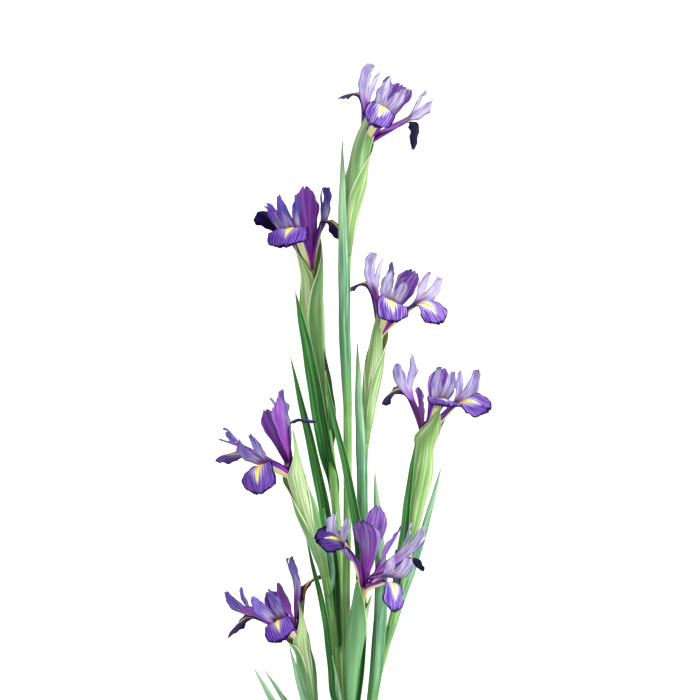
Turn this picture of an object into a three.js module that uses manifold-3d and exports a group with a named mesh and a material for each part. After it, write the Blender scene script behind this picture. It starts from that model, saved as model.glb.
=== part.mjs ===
// Seven cut Dutch irises standing in a plain glazed vase with water in it.
// Millimetres, +Z up. The origin is the middle of the vase's flat foot, and the bunch is seen from -Y.
import * as THREE from "three";
import { mergeVertices } from "three/addons/utils/BufferGeometryUtils.js";
import Module from "manifold-3d";

const wasm = await Module();
wasm.setup();

// Driving dimensions
const GAP = 0.3; // kept between pieces that touch
const PETAL = 0.7; // thickness of a petal
const LEAF = 0.8; // thickness of a leaf or a valve of the spathe
const STEM_RADIUS = 3.3;
const TUBE_RADIUS = 3.4; // perianth tube, which carries the petals
const TUBE_BELOW = 22; // length of the tube below the point where the petals part
const TUBE_ABOVE = 7;
const AXIS_ABOVE = 46; // how far a flower's axis runs on above that point
const COLUMN_RADIUS = 2.2; // foot of the three style arms
const COLUMN_HEIGHT = 7;
const ARM_RISE = 3; // above the tube, where the style arms leave the column
const VASE_HEIGHT = 210;
const VASE_WALL = 3.5;
const VASE_FLOOR = 6;
const WATER_LEVEL = 130;
const LIP_ROUNDING = 1.2; // chamfer of the lip on either side
const LIP_EDGE = 208.6; // height of that chamfer's foot
const FLOOR_CORNER = 3; // fillet between the wall and the floor inside
const FOOT_SPREAD = 1.5; // stems stand wider apart on the vase's floor than in its neck

const FALL_LENGTH = 70; // a narrow haft of about 45, then the round blade
const STANDARD_LENGTH = 60;
const STYLE_LENGTH = 61; // an arm of about 38, then its two crests
const FALL_ROOT = 2.4; // how far from the flower's axis each kind of blade starts
const STANDARD_ROOT = 2.6;
const STANDARD_START = 10; // from upright, at its root
const STYLE_ROOT = 1.2;
const WAVE = 0.8; // how far a blade's margins rise and dip

const COLOURS = {
  vase: 0xe9e6de,
  water: 0xbfd3d6,
  stem: 0x7fae6b,
  spathe: 0xa9c97a,
  bloom: 0x5a35a3,
  styles: 0xb9aee0,
};

// A smooth curve through [place, value] pairs.
function through(...knots) {
  const last = knots.length - 1;
  const slope = (i) => {
    const [x0, y0] = knots[Math.max(i - 1, 0)];
    const [x1, y1] = knots[Math.min(i + 1, last)];
    return (y1 - y0) / (x1 - x0);
  };
  return (x) => {
    let i = 0;
    while (i < last - 1 && x > knots[i + 1][0]) i++;
    const [x0, y0] = knots[i];
    const [x1, y1] = knots[i + 1];
    const span = x1 - x0;
    const t = THREE.MathUtils.clamp((x - x0) / span, 0, 1);
    const bow0 = slope(i) * span - (y1 - y0);
    const bow1 = (y1 - y0) - slope(i + 1) * span;
    return y0 + (y1 - y0) * t + t * (1 - t) * (bow0 * (1 - t) + bow1 * t);
  };
}

// Widths, bends and directions along each kind of blade, from its root at 0 to its tip at 1
const FALL_STATIONS = [0, 0.24, 0.46, 0.58, 0.67, 0.78, 0.9, 1];
const fallHalfWidth = through(
  [0, 2.2], [0.2, 5], [0.44, 6], [0.57, 7], [0.67, 12], [0.79, 14.3], [0.9, 13.4], [1, 8.5]
);
const FALL_ROUNDING = 0.1; // how much shorter a fall is at its sides than along its middle
const fallCurl = through([0, -1.1], [0.35, -1], [0.52, -0.7], [0.64, -0.1], [0.78, 0.3], [1, 0.5]);
const blade = through([0, 0], [0.5, 0], [0.66, 1], [1, 1]); // where a fall's own width counts
const STANDARD_STATIONS = [0, 0.25, 0.5, 0.72, 0.88, 1];
const standardHalfWidth = through([0, 1.3], [0.3, 3.2], [0.55, 6.8], [0.75, 9.6], [0.9, 8.8], [1, 4.2]);
const STYLE_STATIONS = [0, 0.3, 0.58, 0.8, 1];
const styleHalfWidth = through([0, 1.5], [0.2, 3.6], [0.42, 5.8], [0.6, 8.2], [0.8, 12.2], [1, 13]);
const styleFork = through([0, 0.33], [0.33, 0.06], [0.66, 0], [1, 0.2]); // how far its end is cut back
const LEAF_STATIONS = [0, 0.12, 0.28, 0.46, 0.64, 0.84, 1];
const leafHalfWidth = through([0, 0.4], [0.12, 0.85], [0.3, 1], [0.6, 0.88], [0.85, 0.5], [1, 0.06]);
const leafChannel = through([0, 0.6], [0.14, 1.2], [0.3, 1], [0.6, 0.8], [1, 0.7]);
const SPATHE_STATIONS = [0, 0.2, 0.44, 0.7, 0.88, 1];
const SPATHE_WRAP = 174; // half the angle that the rolled spathe covers
const SPATHE_NOTCH = -12; // foot of the gap between its two tips, from where the petals part
const SPATHE_POINT = 1.1; // 1 gives its tips straight sides, and more draws them out
const SPATHE_ROLL = 0.5; // its outer edge lies that much further out, its inner edge that much in
const ACROSS_TWO = [-1, 0, 1];
const ACROSS_SIX = [-1, -0.67, -0.33, 0, 0.33, 0.67, 1];
const SPINE_STEPS = 60; // short straight steps that make up the middle line of a petal
const ROD_SIDES = 6;
const STEM_STEPS = 11;
const TUBE_STEPS = 3;

// Outer radius of the vase against height: foot, belly, shoulder, neck and lip
const vaseRadius = through(
  [0, 39], [14, 42], [44, 50.5], [74, 53], [106, 48.5], [134, 38], [158, 30], [176, 28.5], [196, 30],
  [210, 33]
);
const OUTSIDE_STATIONS = [0, 3, 28, 56, 84, 110, 132, 152, 176, LIP_EDGE];
const INSIDE_STATIONS = [LIP_EDGE, 182, 156, 134, 108, 66, 18];
const VASE_SEGMENTS = 24;

// Each iris: where its stem passes the vase's neck, the points of its route above that, the point
// where its petals part, its tilt to the right and nod to the front, its three falls (bearing round
// the flower, opening at the root, direction of the blade, and opening of the style arm above it
// where that differs, all from the flower's axis, and how far that arm's crests are turned), its
// standards, the two valves of its spathe and how far they spread at the top, and its leaves. A leaf
// leaves the stem at a height, goes through its points to its tip, and its outer side faces a bearing.
const IRISES = [
  {
    neck: [-2, -3],
    route: [
      [-3, -2, 262], [-3, -3, 342], [-2, -4, 422], [-2, -6, 502], [-3, -7, 582], [-1, -8, 638], [4, -8, 672],
    ],
    base: [10, -8, 704],
    tilt: 30,
    nod: 5,
    falls: [
      { bearing: 17, open: 31, droop: 152, turned: 45 },
      { bearing: -90, open: 32, droop: 146, wide: 0.88, arm: 43 },
      { bearing: 140, open: 36, droop: 122, wide: 0.8, twist: 30 },
    ],
    standards: [{ bearing: -38 }, { bearing: 85 }, { bearing: -152, lean: 8 }],
    spathe: { tips: [{ bearing: -152, tall: 42 }, { bearing: 45, tall: 6 }], below: 88 },
    leaves: [
      {
        from: 478,
        points: [[-4, -12, 545], [-5, -17.5, 610], [-6, -18, 661], [-6, -17, 708]],
        half: 5.3,
        faces: -90,
      },
    ],
  },
  {
    neck: [-8, 8],
    route: [[-6, 9, 261], [-7, 11, 341], [-12, 14, 421], [-19, 17, 486], [-26, 19, 534], [-31, 20, 578]],
    base: [-31, 22, 605],
    tilt: -8,
    nod: 8,
    falls: [
      { bearing: -120, open: 24, droop: 130, wide: 1.3 },
      { bearing: -18, open: 21, droop: 150 },
      { bearing: 146, open: 30, droop: 50, wide: 1.2 },
    ],
    standards: [
      { bearing: -72, lean: 10, long: 1.2 },
      { bearing: 52 },
      { bearing: -178, lean: 24, flare: 22, wide: 0.6, long: 1.1 },
    ],
    spathe: { tips: [{ bearing: -178, tall: 23 }, { bearing: 48, tall: 34 }], below: 100, wide: 9.6 },
    leaves: [
      {
        from: 415,
        points: [[-20, 8, 462], [-27, 5, 502], [-34, 4, 542], [-44, 5, 589]],
        half: 6.6,
        faces: 90,
      },
      { from: 440, points: [[-14, 12, 486], [-17, 10, 516], [-21, 9, 543]], half: 3.6, faces: 90 },
      {
        from: 270,
        points: [
          [-10, 2, 315], [-13, -3, 366], [-20, -4, 414], [-30, -4, 462], [-38, -3, 496], [-48, -2, 538],
        ],
        half: 5.6,
        faces: 80,
      },
    ],
  },
  {
    neck: [4, 12],
    route: [[5, 11, 261], [7, 11, 325], [10, 12, 389], [11, 15, 453], [15, 18, 494], [19, 20, 526]],
    base: [24, 21, 554],
    tilt: 22,
    nod: 6,
    falls: [
      { bearing: 142, open: 39, droop: 128, twist: 25 },
      { bearing: -96, open: 41, droop: 138, wide: 0.92, sway: 26, arm: 49 },
      { bearing: -20, open: 29, droop: 118, wide: 0.85, twist: -40, turned: 40 },
    ],
    standards: [{ bearing: -52 }, { bearing: 66 }, { bearing: -160 }],
    spathe: { tips: [{ bearing: -160, tall: 22 }, { bearing: 60, tall: 8 }], below: 88, wide: 7.4 },
    leaves: [
      { from: 360, points: [[10, 6, 422], [9, 6, 462], [7, 7, 506], [6, 9, 547]], half: 5, faces: -90 },
    ],
  },
  {
    neck: [14, 2],
    route: [[18, 4, 262], [29, 7, 305], [40, 12, 349], [48, 18, 385], [54, 25, 417], [59, 31, 445]],
    base: [61, 36, 470],
    tilt: 8,
    nod: 5,
    falls: [
      { bearing: 152, open: 33, droop: 134, twist: 25, turned: 30 },
      { bearing: -74, open: 34, droop: 98 },
      { bearing: -18, open: 35, droop: 102, wide: 1.05, twist: -30, turned: 40 },
    ],
    standards: [
      { bearing: -150, lean: 17, wide: 0.7, long: 0.72 },
      { bearing: -52, wide: 0.6 },
      { bearing: 62 },
    ],
    spathe: {
      tips: [{ bearing: -84, tall: 27 }, { bearing: 30, tall: 28 }],
      below: 92,
      wide: 9,
      spread: 22,
    },
    leaves: [
      { from: 318, points: [[38, 3, 362], [43, 5, 393], [47, 9, 429], [53, 14, 470]], half: 4, faces: 90 },
      {
        from: 296,
        points: [[41, 18, 338], [54, 26, 374], [64, 31, 408], [74, 33, 447]],
        half: 4.6,
        faces: -60,
      },
      {
        from: 232,
        points: [[19, -5, 271], [23, -8, 311], [25, -8, 359], [22, -6, 406], [20, -4, 445]],
        half: 6.2,
        faces: -90,
      },
    ],
  },
  {
    neck: [-9, -13],
    route: [[-9, -14, 264], [-13, -16, 312], [-19, -19, 359], [-27, -22, 391], [-36, -24, 419]],
    base: [-44, -26, 440],
    tilt: -28,
    nod: 8,
    falls: [
      { bearing: 20, open: 20, droop: 120 },
      { bearing: -119, open: 50, droop: 150, wide: 1.1, sway: -12 },
      { bearing: 162, open: 36, droop: 76, turned: -35 },
    ],
    standards: [
      { bearing: -42, lean: 22, flare: 2, wide: 0.8, long: 1.2 },
      { bearing: 74, lean: 18, wide: 0.8 },
      { bearing: -166, lean: 36, flare: 6, wide: 0.7, long: 1.15 },
    ],
    spathe: { tips: [{ bearing: -14, tall: 34 }, { bearing: 86, tall: 16 }], below: 82, spread: 13 },
    leaves: [
      { from: 325, points: [[-14, -13, 362], [-17, -12, 391], [-21, -11, 416]], half: 2.6, faces: -90 },
      {
        from: 235,
        points: [[-13, -19, 268], [-16, -21, 300], [-21, -22, 336], [-28, -20, 365], [-35, -17, 393]],
        half: 3.2,
        faces: 90,
      },
    ],
  },
  {
    neck: [2, -15],
    route: [[0, -19, 264], [2, -24, 297], [6, -30, 325]],
    base: [11, -34, 353],
    tilt: 14,
    nod: 8,
    falls: [
      { bearing: -160, open: 34, droop: 100, wide: 0.9, twist: 32, arm: 46, turned: -40 },
      { bearing: -62, open: 64, droop: 150, wide: 0.85, twist: 18 },
      { bearing: 34, open: 44, droop: 120, sway: 30 },
    ],
    standards: [
      { bearing: -122, lean: 19, wide: 1.4, sway: -18 },
      { bearing: -10, lean: 16 },
      { bearing: 110, long: 1.12 },
    ],
    spathe: { tips: [{ bearing: -128, tall: 8 }, { bearing: 8, tall: -4 }], below: 104 },
    leaves: [
      {
        from: 212,
        points: [
          [8, -12, 290], [9, -17, 350], [7, -16, 391], [-3, -15, 447], [-15, -10, 498], [-20, -8, 526],
        ],
        half: 4.8,
        faces: 90,
      },
      { from: 214, points: [[-8, -24, 265], [-11, -27, 283], [-14, -28, 301]], half: 2.6, faces: -140 },
    ],
  },
  {
    neck: [-17, -5],
    route: [[-30, -6, 263], [-34, -8, 286]],
    base: [-40, -10, 310],
    tilt: -30,
    nod: 5,
    falls: [
      { bearing: 22, open: 37, droop: 96, arm: 31 },
      { bearing: -98, open: 48, droop: 128, wide: 0.9 },
      { bearing: -177, open: 31, droop: 105, turned: -40 },
    ],
    standards: [
      { bearing: -30, lean: 9, wide: 0.7, long: 0.85 },
      { bearing: 100, lean: 22, wide: 0.8, long: 0.8 },
      { bearing: -138, lean: 38 },
    ],
    spathe: {
      tips: [{ bearing: -14, tall: 28 }, { bearing: 106, tall: 30 }],
      below: 62,
      wide: 7,
      spread: 15,
    },
    leaves: [
      {
        from: 192,
        points: [[-28, -8, 216], [-43, -12, 236], [-62, -14, 264], [-76, -16, 289]],
        half: 4,
        faces: -90,
      },
      { from: 205, points: [[-34, 0, 238], [-52, -2, 262], [-68, -3, 286]], half: 3, faces: -90 },
      {
        from: 194,
        points: [[-28, -16, 240], [-37, -20, 266], [-43, -21, 288], [-48, -20, 308]],
        half: 3.4,
        faces: -90,
      },
    ],
  },
];

const radians = THREE.MathUtils.degToRad;

// A closed geometry as a solid that can be joined and cut.
function solidOf(geometry) {
  const bare = new THREE.BufferGeometry();
  bare.setAttribute("position", geometry.getAttribute("position"));
  bare.setIndex(geometry.index);
  const merged = mergeVertices(bare, 1e-4);
  return new wasm.Manifold(
    new wasm.Mesh({
      numProp: 3,
      vertProperties: merged.attributes.position.array,
      triVerts: new Uint32Array(merged.index.array),
    })
  );
}

// A thin closed solid over surface(u, v), with u from 0 to 1 along it and v from -1 to 1 across.
// grown makes it that much larger all round.
function sheet(surface, stations, lines, thickness, grown = 0) {
  const rows = stations.length - 1;
  const columns = lines.length - 1;
  const middle = stations.map((u) => lines.map((v) => surface(u, v)));
  const faces = [[], []];
  for (let i = 0; i <= rows; i++)
    for (let j = 0; j <= columns; j++) {
      const [below, above] = [middle[Math.max(i - 1, 0)][j], middle[Math.min(i + 1, rows)][j]];
      const [before, after] = [middle[i][Math.max(j - 1, 0)], middle[i][Math.min(j + 1, columns)]];
      const along = above.clone().sub(below).normalize();
      const across = after.clone().sub(before).normalize();
      const normal = across.clone().cross(along).normalize();
      const edge = middle[i][j].clone();
      if (i === 0) edge.addScaledVector(along, -grown);
      if (i === rows) edge.addScaledVector(along, grown);
      if (j === 0) edge.addScaledVector(across, -grown);
      if (j === columns) edge.addScaledVector(across, grown);
      faces[0].push(edge.clone().addScaledVector(normal, thickness / 2 + grown));
      faces[1].push(edge.clone().addScaledVector(normal, -thickness / 2 - grown));
    }
  const size = faces[0].length;
  const at = (i, j) => i * (columns + 1) + j;
  const index = [];
  for (let i = 0; i < rows; i++)
    for (let j = 0; j < columns; j++) {
      const [a, b, c, d] = [at(i, j), at(i, j + 1), at(i + 1, j + 1), at(i + 1, j)];
      index.push(a, b, c, a, c, d);
      index.push(a + size, c + size, b + size, a + size, d + size, c + size);
    }
  const rim = [];
  for (let j = 0; j < columns; j++) rim.push(at(0, j));
  for (let i = 0; i < rows; i++) rim.push(at(i, columns));
  for (let j = columns; j > 0; j--) rim.push(at(rows, j));
  for (let i = rows; i > 0; i--) rim.push(at(i, 0));
  rim.forEach((p, k) => {
    const q = rim[(k + 1) % rim.length];
    index.push(p, p + size, q + size, p, q + size, q);
  });
  const geometry = new THREE.BufferGeometry().setFromPoints([...faces[0], ...faces[1]]);
  geometry.setIndex(index);
  return solidOf(geometry);
}

// A round rod along a stretch of a curve, from one length along it to another.
function rod(curve, from, to, radius, steps) {
  const whole = curve.getLength();
  const points = [];
  for (let i = 0; i <= steps; i++)
    points.push(curve.getPointAt(Math.max(from + ((to - from) * i) / steps, 0) / whole));
  const circle = new THREE.EllipseCurve(0, 0, radius, radius).getPoints(ROD_SIDES);
  const section = new THREE.Shape(circle.slice(0, ROD_SIDES));
  const extrudePath = new THREE.CatmullRomCurve3(points);
  return solidOf(new THREE.ExtrudeGeometry(section, { extrudePath, steps }));
}

// A solid turned about the vertical axis, from [radius, height] points.
function turned(points, segments) {
  const profile = points.map(([radius, height]) => new THREE.Vector2(radius, height));
  return solidOf(new THREE.LatheGeometry(profile, segments).rotateX(Math.PI / 2));
}

const join = (solids) => solids.reduce((whole, solid) => whole.add(solid));

function largest(solid) {
  const bodies = solid.decompose();
  return bodies.reduce((best, body) => (body.volume() > best.volume() ? body : best));
}

// A flower's axis runs from the stem's foot to beyond the petals.
function flowerOf(iris) {
  const tilt = radians(iris.tilt);
  const nod = radians(iris.nod);
  const level = Math.cos(nod);
  const up = new THREE.Vector3(Math.sin(tilt) * level, -Math.sin(nod), Math.cos(tilt) * level);
  const right = new THREE.Vector3(Math.cos(tilt), 0, -Math.sin(tilt));
  const away = up.clone().cross(right);
  const base = new THREE.Vector3(...iris.base);
  const [x, y] = iris.neck;
  const axis = new THREE.CatmullRomCurve3([
    new THREE.Vector3(x * FOOT_SPREAD, y * FOOT_SPREAD, VASE_FLOOR + 2 * GAP),
    new THREE.Vector3(x, y, 200),
    ...iris.route.map((point) => new THREE.Vector3(...point)),
    base,
    base.clone().addScaledVector(up, AXIS_ABOVE),
  ]);
  return { up, right, away, base, axis, baseAt: axis.getLength() - AXIS_ABOVE };
}

// Where a blade starts and how it turns: out is its bearing round the flower, side lies across it.
function bearingOf(flower, bearing) {
  const angle = radians(bearing);
  const out = flower.right.clone().multiplyScalar(Math.cos(angle));
  out.addScaledVector(flower.away, Math.sin(angle));
  return { out, side: flower.up.clone().cross(out) };
}

// The surface of a petal or a style, which grows from root in a direction that turns away from the
// flower's axis. turn and halfWidth follow it to its tip, curl bends its sides towards its under
// face, sway leans it sideways and twist rolls it about its own length.
function petal(flower, bearing, { root, length, turn, halfWidth, curl, sway = 0, twist = 0 }) {
  const { out, side } = bearingOf(flower, bearing);
  const spread = through([0, 0], [0.45, 0], [0.75, 1], [1, 1.1]);
  const frame = (u) => {
    const angle = radians(turn(u));
    const lean = radians(sway * spread(u));
    const roll = radians(twist * spread(u));
    const forward = out.clone().multiplyScalar(Math.sin(angle)).addScaledVector(flower.up, Math.cos(angle));
    const down = out.clone().multiplyScalar(Math.cos(angle)).addScaledVector(flower.up, -Math.sin(angle));
    const level = side.clone().multiplyScalar(Math.cos(lean)).addScaledVector(forward, -Math.sin(lean));
    return {
      ahead: forward.clone().multiplyScalar(Math.cos(lean)).addScaledVector(side, Math.sin(lean)),
      across: level.clone().multiplyScalar(Math.cos(roll)).addScaledVector(down, Math.sin(roll)),
      under: down.clone().multiplyScalar(Math.cos(roll)).addScaledVector(level, -Math.sin(roll)),
    };
  };
  const spine = [root.clone()];
  for (let i = 0; i < SPINE_STEPS; i++)
    spine.push(spine[i].clone().addScaledVector(frame((i + 0.5) / SPINE_STEPS).ahead, length / SPINE_STEPS));
  return (u, v) => {
    const step = Math.min(Math.floor(u * SPINE_STEPS), SPINE_STEPS - 1);
    const { across, under } = frame(u);
    const bend = curl(u) || 1e-6;
    const radius = halfWidth(u) / bend;
    const lift = radius * (1 - Math.cos(v * bend)) + WAVE * v * v * Math.sin(9 * u + 2 * v);
    return spine[step]
      .clone()
      .lerp(spine[step + 1], u * SPINE_STEPS - step)
      .addScaledVector(across, radius * Math.sin(v * bend))
      .addScaledVector(under, lift);
  };
}

// A point of the flower at a radius and a height from where the petals part.
function rootAt(flower, bearing, radius, height) {
  const { out } = bearingOf(flower, bearing);
  return flower.base.clone().addScaledVector(out, radius).addScaledVector(flower.up, height);
}

function fall(flower, { bearing, open, droop, wide = 1, sway, twist }, grown) {
  const surface = petal(flower, bearing, {
    root: rootAt(flower, bearing, FALL_ROOT, -1),
    length: FALL_LENGTH,
    turn: through(
      [0, open - 10], [0.3, open], [0.56, open + 4], [0.66, (open + droop) / 2], [0.77, droop - 5],
      [1, droop + 8]
    ),
    halfWidth: (u) => fallHalfWidth(u) * (1 + (wide - 1) * blade(u)),
    curl: fallCurl,
    sway,
    twist,
  });
  const rounded = (u, v) => surface(u * (1 - FALL_ROUNDING * v * v * u ** 3), v);
  return sheet(rounded, FALL_STATIONS, ACROSS_TWO, PETAL, grown);
}

function standard(flower, { bearing, lean = 12, flare = -6, wide = 1, long = 1, sway, twist }, grown) {
  const surface = petal(flower, bearing, {
    root: rootAt(flower, bearing, STANDARD_ROOT, 0),
    length: long * STANDARD_LENGTH,
    turn: through([0, STANDARD_START], [0.5, lean], [1, lean + flare]),
    halfWidth: (u) => wide * standardHalfWidth(u),
    curl: () => -0.6,
    sway,
    twist,
  });
  return sheet(surface, STANDARD_STATIONS, ACROSS_TWO, PETAL, grown);
}

function bloom(flower, iris, grown = 0) {
  const { axis, baseAt } = flower;
  return join([
    rod(axis, baseAt - TUBE_BELOW - grown, baseAt + TUBE_ABOVE + grown, TUBE_RADIUS + grown, TUBE_STEPS),
    ...iris.falls.map((data) => fall(flower, data, grown)),
    ...iris.standards.map((data) => standard(flower, data, grown)),
  ]);
}

// A style arm arches over its fall and forks into two crests that stand up side by side.
function styleArm(flower, { bearing, open, arm = open + 1, turned }, grown) {
  const whole = petal(flower, bearing, {
    root: rootAt(flower, bearing, STYLE_ROOT, TUBE_ABOVE + ARM_RISE),
    length: STYLE_LENGTH,
    turn: through([0, arm], [0.45, arm + 2], [0.6, arm - 5], [0.78, arm / 3], [1, -8]),
    halfWidth: styleHalfWidth,
    curl: through([0, 0.8], [0.5, 0.75], [0.75, 0.6], [1, 0.7]),
    twist: turned,
  });
  const forked = (u, v) => whole(u * (1 - styleFork(Math.abs(v)) * u), v);
  return sheet(forked, STYLE_STATIONS, ACROSS_SIX, PETAL, grown);
}

function styles(flower, iris, grown = 0) {
  const { axis, baseAt } = flower;
  const foot = baseAt + TUBE_ABOVE + GAP;
  return join([
    rod(axis, foot - grown, foot + COLUMN_HEIGHT + grown, COLUMN_RADIUS + grown, 1),
    ...iris.falls.map((data) => styleArm(flower, data, grown)),
  ]);
}

// The spathe is one sheath rolled round the stem and the tube. Its end parts into two pointed valves.
function spathe(flower, iris, grown = 0) {
  const { axis, baseAt, right } = flower;
  const { tips, below, wide = 8.6, spread = 3 } = iris.spathe;
  const whole = axis.getLength();
  const foot = STEM_RADIUS + GAP + LEAF / 2 + SPATHE_ROLL;
  // The seam lies opposite the middle of the two tips, and each tip has a line of the sheet.
  const middle = (tips[0].bearing + tips[1].bearing) / 2;
  const reach = (tips[1].bearing - tips[0].bearing) / 2 / SPATHE_WRAP;
  const edge = (1 + reach) / 2;
  const lines = [-1, -edge, -reach, -reach / 2, 0, reach / 2, reach, edge, 1];
  const topAt = (v) => {
    const gap = Math.abs(v) < reach ? reach : 1 - reach;
    const beside = Math.min(Math.abs(Math.abs(v) - reach) / gap, 1);
    return SPATHE_NOTCH + (tips[v < 0 ? 0 : 1].tall - SPATHE_NOTCH) * (1 - beside) ** SPATHE_POINT;
  };
  const radiusAt = through(
    [-below, foot], [-0.72 * below, 0.66 * wide], [-0.36 * below, wide], [-6, 0.95 * wide],
    [50, wide + spread + 1]
  );
  const surface = (u, v) => {
    const height = -below + u * (topAt(v) + below);
    const place = (baseAt + height) / whole;
    const ahead = axis.getTangentAt(place);
    const first = right.clone().addScaledVector(ahead, -right.dot(ahead)).normalize();
    const second = ahead.clone().cross(first);
    const angle = radians(middle + v * SPATHE_WRAP);
    const radius = radiusAt(height) + SPATHE_ROLL * v;
    return axis
      .getPointAt(place)
      .addScaledVector(first, radius * Math.cos(angle))
      .addScaledVector(second, radius * Math.sin(angle));
  };
  return sheet(surface, SPATHE_STATIONS, lines, LEAF, grown);
}

// The point of a stem at a height.
function pointAtHeight(axis, height) {
  let low = 0;
  let high = 1;
  for (let i = 0; i < 24; i++) {
    const middle = (low + high) / 2;
    if (axis.getPointAt(middle).z < height) low = middle;
    else high = middle;
  }
  return axis.getPointAt(low);
}

// A leaf grows out of its stem, folds round it at first, and opens into a channelled blade.
function leaf(flower, { from, points, half, faces }, grown) {
  const facing = new THREE.Vector3(Math.cos(radians(faces)), Math.sin(radians(faces)), 0);
  const spine = new THREE.CatmullRomCurve3([
    pointAtHeight(flower.axis, from),
    pointAtHeight(flower.axis, from + 20).addScaledVector(facing, STEM_RADIUS + LEAF),
    ...points.map((point) => new THREE.Vector3(...point)),
  ]);
  const surface = (u, v) => {
    const ahead = spine.getTangentAt(u);
    const outer = facing.clone().addScaledVector(ahead, -facing.dot(ahead)).normalize();
    const across = ahead.clone().cross(outer);
    const bend = leafChannel(u);
    const radius = (half * leafHalfWidth(u)) / bend;
    return spine
      .getPointAt(u)
      .addScaledVector(across, radius * Math.sin(v * bend))
      .addScaledVector(outer, -radius * (1 - Math.cos(v * bend)));
  };
  return sheet(surface, LEAF_STATIONS, ACROSS_TWO, LEAF, grown);
}

function leafyStem(flower, iris, grown = 0) {
  const { axis, baseAt } = flower;
  const top = baseAt - TUBE_BELOW - GAP;
  return join([
    rod(axis, -grown, top + grown, STEM_RADIUS + grown, STEM_STEPS),
    ...iris.leaves.map((data) => leaf(flower, data, grown)),
  ]);
}

function vase() {
  const lip = vaseRadius(VASE_HEIGHT);
  const points = [
    [0, 0],
    ...OUTSIDE_STATIONS.map((height) => [vaseRadius(height), height]),
    [lip - LIP_ROUNDING, VASE_HEIGHT],
    [lip - VASE_WALL + LIP_ROUNDING, VASE_HEIGHT],
    ...INSIDE_STATIONS.map((height) => [vaseRadius(height) - VASE_WALL, height]),
    [vaseRadius(VASE_FLOOR) - VASE_WALL - FLOOR_CORNER, VASE_FLOOR],
    [0, VASE_FLOOR],
  ];
  return turned(points, VASE_SEGMENTS);
}

// The water fills the vase to its level.
function water() {
  const radius = (height) => vaseRadius(height) - VASE_WALL - 2 * GAP;
  const wetted = INSIDE_STATIONS.filter((height) => height < WATER_LEVEL).reverse();
  const points = [
    [0, VASE_FLOOR + GAP],
    [radius(VASE_FLOOR) - FLOOR_CORNER, VASE_FLOOR + GAP],
    ...wetted.map((height) => [radius(height), height]),
    [radius(WATER_LEVEL), WATER_LEVEL],
    [0, WATER_LEVEL],
  ];
  return turned(points, VASE_SEGMENTS);
}

const bunch = new THREE.Group();
const standing = [];

// Adds a piece as a named mesh. It gives way by the gap to the pieces already standing that it meets.
function place(name, colour, roughness, build) {
  let solid = build(0);
  for (const other of standing)
    if (solid.intersect(other.solid).volume() > 0) solid = solid.subtract(other.build(GAP));
  solid = largest(solid);
  standing.push({ solid, build });
  const { vertProperties, triVerts } = solid.getMesh();
  const geometry = new THREE.BufferGeometry();
  geometry.setAttribute("position", new THREE.BufferAttribute(vertProperties, 3));
  geometry.setIndex(new THREE.BufferAttribute(triVerts, 1));
  geometry.computeVertexNormals();
  const material = new THREE.MeshStandardMaterial({ color: colour, roughness, metalness: 0 });
  const mesh = new THREE.Mesh(geometry, material);
  mesh.name = name;
  bunch.add(mesh);
}

const flowers = IRISES.map(flowerOf);
const each = (suffix, colour, roughness, build) =>
  IRISES.forEach((iris, i) =>
    place("iris_" + (i + 1) + "_" + suffix, colour, roughness, (grown) => build(flowers[i], iris, grown))
  );

place("vase", COLOURS.vase, 0.2, vase);
each("leafy_stem", COLOURS.stem, 0.55, leafyStem);
each("bloom", COLOURS.bloom, 0.6, bloom);
each("styles", COLOURS.styles, 0.6, styles);
each("spathe", COLOURS.spathe, 0.6, spathe);
place("water", COLOURS.water, 0.05, water);

export default bunch;
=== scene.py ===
"""Seven cut Dutch irises standing in a glazed vase of water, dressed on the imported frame."""
import math

import bpy
import numpy as np
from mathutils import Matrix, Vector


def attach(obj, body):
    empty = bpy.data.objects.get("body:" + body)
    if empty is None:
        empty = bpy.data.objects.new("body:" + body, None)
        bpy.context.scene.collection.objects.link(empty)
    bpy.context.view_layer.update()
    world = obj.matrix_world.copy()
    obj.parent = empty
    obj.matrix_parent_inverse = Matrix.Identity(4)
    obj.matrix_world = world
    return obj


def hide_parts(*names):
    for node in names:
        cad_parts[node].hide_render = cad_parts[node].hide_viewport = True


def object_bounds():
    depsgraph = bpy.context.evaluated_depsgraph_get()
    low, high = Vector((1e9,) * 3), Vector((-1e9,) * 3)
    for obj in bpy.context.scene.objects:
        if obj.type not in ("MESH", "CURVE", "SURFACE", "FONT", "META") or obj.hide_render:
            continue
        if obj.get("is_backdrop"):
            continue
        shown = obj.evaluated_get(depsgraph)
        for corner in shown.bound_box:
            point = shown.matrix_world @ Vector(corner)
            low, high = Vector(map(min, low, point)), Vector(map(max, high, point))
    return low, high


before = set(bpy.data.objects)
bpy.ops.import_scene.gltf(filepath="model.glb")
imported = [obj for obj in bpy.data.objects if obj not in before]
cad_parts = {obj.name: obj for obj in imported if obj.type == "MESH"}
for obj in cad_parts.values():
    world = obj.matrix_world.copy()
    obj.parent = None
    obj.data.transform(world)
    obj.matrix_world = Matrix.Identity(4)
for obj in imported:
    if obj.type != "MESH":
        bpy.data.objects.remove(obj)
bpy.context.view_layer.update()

# THE VIEW
# The bunch is seen level from the front with a long lens, high up on its stems. The photograph's
# bottom edge cuts the stems above the vase, so the vase itself is out of this view.
VIEW_HEIGHT = 0.542
VIEW_DISTANCE = 2.333
LENS = 150
camera = bpy.data.objects.new("view", bpy.data.cameras.new("view"))
camera.data.lens = LENS
camera.location = (0, -VIEW_DISTANCE, VIEW_HEIGHT)
camera.rotation_euler = (math.radians(90), 0, 0)
bpy.context.scene.collection.objects.link(camera)
bpy.context.scene.camera = camera


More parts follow.
